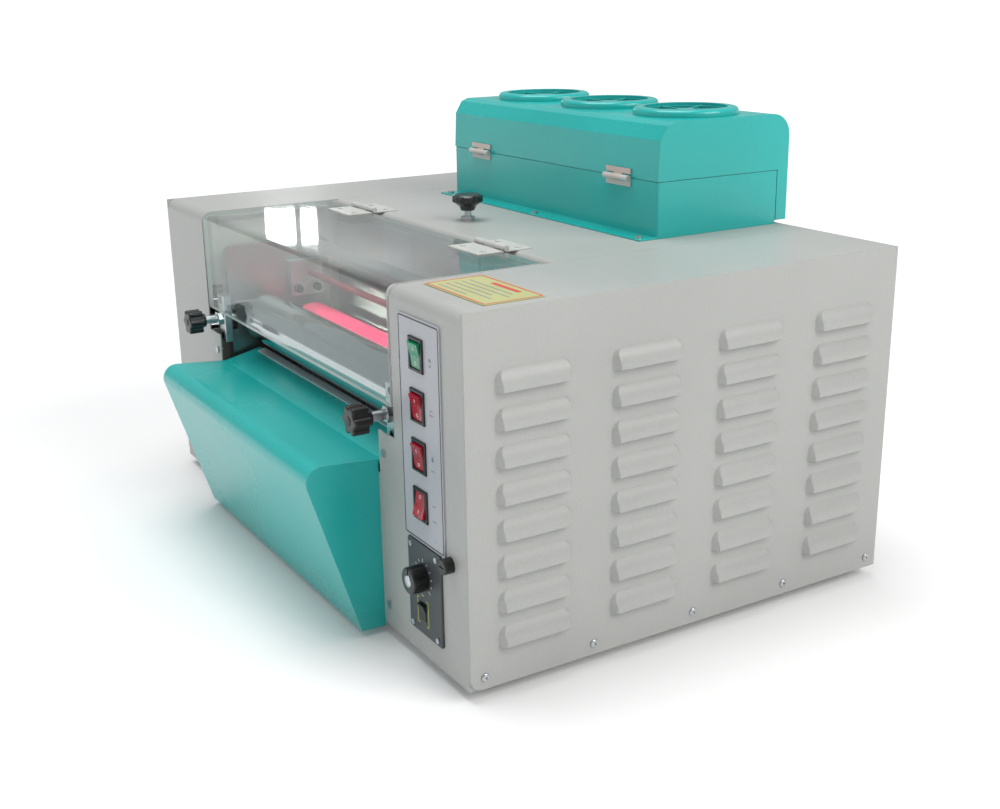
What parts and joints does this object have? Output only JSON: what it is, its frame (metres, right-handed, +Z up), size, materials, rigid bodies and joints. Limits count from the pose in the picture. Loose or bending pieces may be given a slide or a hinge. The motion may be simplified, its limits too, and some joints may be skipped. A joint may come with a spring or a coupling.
{
  "type": "roller varnish coater",
  "caption": "Tabletop sheet varnish coater: chrome and pink rollers under a clear hinged cover, teal feed hood, louvred grey casing and a teal lamp house with round vents",
  "frame": {"origin": "On the table, under the middle of the machine's bounding box.", "axes": "+X to the operator's right, along the rollers; +Y to the back, the way a sheet travels; +Z up."},
  "size_m": [0.784, 0.5918, 0.49],
  "materials": {
    "casing": "satin powder coat",
    "teal": "satin paint",
    "steel": "machined",
    "zinc": "zinc plated",
    "chrome": "polished",
    "aluminium": "satin",
    "rubber_black": "matte",
    "rubber_pink": "semi-gloss",
    "plastic_black": "satin",
    "plastic_red": "gloss",
    "plastic_green": "gloss",
    "label": "satin",
    "label_yellow": "satin",
    "panel_dark": "matte",
    "acrylic": "clear",
    "tube_rose": "gloss",
    "lamp_glass": "clear quartz",
    "mesh_belt": "coated glass cloth",
    "bronze": "machined"
  },
  "bodies": {
    "machine": {"base_pan": "casing", "feet": "rubber_black", "right_side_panel": "casing", "left_side_panel": "casing", "front_panel": "casing", "inner_walls": "casing", "centre_panel": "casing", "power_inlet": "plastic_black", "frame_plates": "casing", "cross_ties": "steel", "roller_brackets": "zinc", "bracket_bolts": "rubber_black", "feed_bar": "tube_rose", "drip_tray": "steel", "conveyor_belt": "mesh_belt", "bearings": "bronze", "slider_bed": "steel", "gearmotor": "steel", "drive_belts": "rubber_black", "power_supply": "aluminium", "label_plates": "label", "switch_housings": "plastic_black", "speed_unit": "panel_dark", "fuse_holder": "plastic_black", "yellow_plate": "label_yellow", "panel_screws": "zinc", "fixed_hinge_leaves": "zinc", "feed_hood": "teal", "hood_lip_strip": "aluminium", "lamp_base": "teal", "uv_lamps": "lamp_glass", "reflector": "aluminium"},
    "cover": {"clear_cover": "acrylic", "cover_hinges_moving": "zinc"},
    "lid": {"lamp_lid": "teal", "vent_guards": "teal", "fan_frames": "plastic_black", "lid_hinges_moving": "zinc"},
    "rotor_left": {"left_rotor": "plastic_black"},
    "rotor_middle": {"middle_rotor": "plastic_black"},
    "rotor_right": {"right_rotor": "plastic_black"},
    "coating": {"coating_roller_core": "steel", "coating_roller_sleeve": "rubber_pink"},
    "impression": {"impression_roller": "steel"},
    "carriage": {"bearing_blocks": "bronze"},
    "metering": {"metering_roller": "chrome"},
    "idler": {"conveyor_idler": "steel"},
    "drive_roller": {"conveyor_drive_roller": "steel"},
    "motor": {"motor_pulley": "steel"},
    "left_screw": {"left_screw_stem": "zinc", "left_star_knob": "plastic_black"},
    "right_screw": {"right_screw_stem": "zinc", "right_star_knob": "plastic_black"},
    "speed_dial": {"speed_knob": "plastic_black"},
    "run_switch": {"run_rocker": "plastic_black"},
    "green_switch": {"green_rocker": "plastic_green"},
    "red_switch_upper": {"red_rocker_upper": "plastic_red"},
    "red_switch_middle": {"red_rocker_middle": "plastic_red"},
    "red_switch_lower": {"red_rocker_lower": "plastic_red"},
    "hold_screw": {"hold_knob": "plastic_black"}
  },
  "joints": [
    {"name": "cover_hinge", "type": "hinge", "parent": "machine", "child": "cover", "pos_m": [0, -0.05, 0.3656], "axis": [-1, 0, 0], "range_deg": [0, 100]},
    {"name": "lid_hinge", "type": "hinge", "parent": "machine", "child": "lid", "pos_m": [0, 0.1114, 0.421], "axis": [1, 0, 0], "range_deg": [0, 85]},
    {"name": "left_fan_spin", "type": "hinge", "parent": "lid", "child": "rotor_left", "pos_m": [-0.142, 0.207, 0.47], "axis": [0, 0, 1], "continuous": true},
    {"name": "middle_fan_spin", "type": "hinge", "parent": "lid", "child": "rotor_middle", "pos_m": [0, 0.207, 0.47], "axis": [0, 0, 1], "continuous": true},
    {"name": "right_fan_spin", "type": "hinge", "parent": "lid", "child": "rotor_right", "pos_m": [0.142, 0.207, 0.47], "axis": [0, 0, 1], "continuous": true},
    {"name": "coating_spin", "type": "hinge", "parent": "machine", "child": "coating", "pos_m": [0, -0.10721, 0.21677], "axis": [1, 0, 0], "continuous": true},
    {"name": "impression_spin", "type": "hinge", "parent": "machine", "child": "impression", "pos_m": [0, -0.10721, 0.15647], "axis": [1, 0, 0], "continuous": true},
    {"name": "carriage_slide", "type": "slide", "parent": "machine", "child": "carriage", "axis": [0, -1, 0], "range_m": [0, 0.003]},
    {"name": "metering_spin", "type": "hinge", "parent": "carriage", "child": "metering", "pos_m": [0, -0.165, 0.234], "axis": [1, 0, 0], "continuous": true},
    {"name": "drive_roller_spin", "type": "hinge", "parent": "machine", "child": "drive_roller", "pos_m": [0, 0.258, 0.1665], "axis": [1, 0, 0], "continuous": true},
    {"name": "idler_spin", "type": "hinge", "parent": "machine", "child": "idler", "pos_m": [0, -0.055, 0.1665], "axis": [1, 0, 0], "continuous": true},
    {"name": "motor_spin", "type": "hinge", "parent": "machine", "child": "motor", "pos_m": [-0.284, -0.11, 0.07], "axis": [1, 0, 0], "continuous": true},
    {"name": "left_screw_turn", "type": "hinge", "parent": "machine", "child": "left_screw", "pos_m": [-0.23, -0.212, 0.234], "axis": [0, -1, 0], "range_deg": [0, 720]},
    {"name": "right_screw_turn", "type": "hinge", "parent": "machine", "child": "right_screw", "pos_m": [0.23, -0.212, 0.234], "axis": [0, -1, 0], "range_deg": [0, 720]},
    {"name": "speed_turn", "type": "hinge", "parent": "machine", "child": "speed_dial", "pos_m": [0.305, -0.2225, 0.096], "axis": [0, 1, 0], "range_deg": [-135, 135]},
    {"name": "run_rock", "type": "hinge", "parent": "machine", "child": "run_switch", "pos_m": [0.303, -0.2205, 0.06], "axis": [-1, 0, 0], "range_deg": [0, 20]},
    {"name": "green_rock", "type": "hinge", "parent": "machine", "child": "green_switch", "pos_m": [0.305, -0.2195, 0.31], "axis": [-1, 0, 0], "range_deg": [0, 20]},
    {"name": "red_rock_upper", "type": "hinge", "parent": "machine", "child": "red_switch_upper", "pos_m": [0.305, -0.2195, 0.262], "axis": [-1, 0, 0], "range_deg": [0, 20]},
    {"name": "red_rock_middle", "type": "hinge", "parent": "machine", "child": "red_switch_middle", "pos_m": [0.305, -0.2195, 0.215], "axis": [-1, 0, 0], "range_deg": [0, 20]},
    {"name": "red_rock_lower", "type": "hinge", "parent": "machine", "child": "red_switch_lower", "pos_m": [0.305, -0.2195, 0.168], "axis": [1, 0, 0], "range_deg": [0, 20]},
    {"name": "hold_screw_turn", "type": "hinge", "parent": "machine", "child": "hold_screw", "pos_m": [-0.01, 0.015, 0.362], "axis": [0, 0, 1], "range_deg": [0, 720]}
  ],
  "couplings": [
    {"joint": "impression_spin", "follows": "coating_spin", "ratio": -1},
    {"joint": "metering_spin", "follows": "coating_spin", "ratio": -1},
    {"joint": "drive_roller_spin", "follows": "coating_spin", "ratio": -1.7857},
    {"joint": "idler_spin", "follows": "coating_spin", "ratio": -1.7857},
    {"joint": "motor_spin", "follows": "coating_spin", "ratio": -1.5385},
    {"joint": "left_screw_turn", "follows": "carriage_slide", "rad_per_m": 4188.8},
    {"joint": "right_screw_turn", "follows": "carriage_slide", "rad_per_m": 4188.8}
  ]
}
